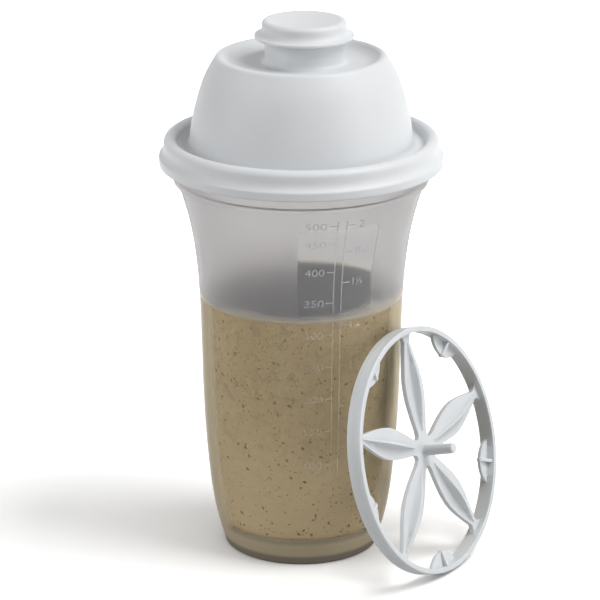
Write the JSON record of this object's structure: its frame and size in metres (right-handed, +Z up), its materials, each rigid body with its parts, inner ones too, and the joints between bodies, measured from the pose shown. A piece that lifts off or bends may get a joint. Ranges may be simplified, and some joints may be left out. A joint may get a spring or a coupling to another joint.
{
  "type": "salad dressing shaker bottle",
  "caption": "Frosted shaker cup of dressing with a domed white lid, a spout under a flanged cap and a petal mixing wheel that leans on the cup.",
  "frame": {"origin": "centre of the cup's standing ring, on the table", "axes": "+Z up along the cup's axis, -Y towards the pictured front, +X to the picture's right, where the mixing wheel leans"},
  "size_m": [0.1256, 0.1186, 0.2003],
  "materials": {
    "frosted_plastic": "frosted, see-through, with raised marks",
    "dressing": "thick tan dressing with herb flecks",
    "white_plastic": "satin white, slightly milky",
    "wheel_plastic": "satin white"
  },
  "bodies": {
    "cup_body": {"cup": "frosted_plastic", "dressing": "dressing"},
    "lid_body": {"lid": "white_plastic"},
    "cap_body": {"spout_cap": "white_plastic"},
    "wheel_body": {"mixing_wheel": "wheel_plastic"}
  },
  "joints": [
    {"name": "lid_lift", "type": "slide", "parent": "cup_body", "child": "lid_body", "axis": [0, 0, 1], "range_m": [0, 0.07]},
    {"name": "cap_lift", "type": "slide", "parent": "lid_body", "child": "cap_body", "axis": [0, 0, 1], "range_m": [0, 0.03]},
    {"name": "wheel_away", "type": "slide", "parent": "cup_body", "child": "wheel_body", "axis": [0.8418, -0.5398, 0], "range_m": [0, 0.08]}
  ]
}
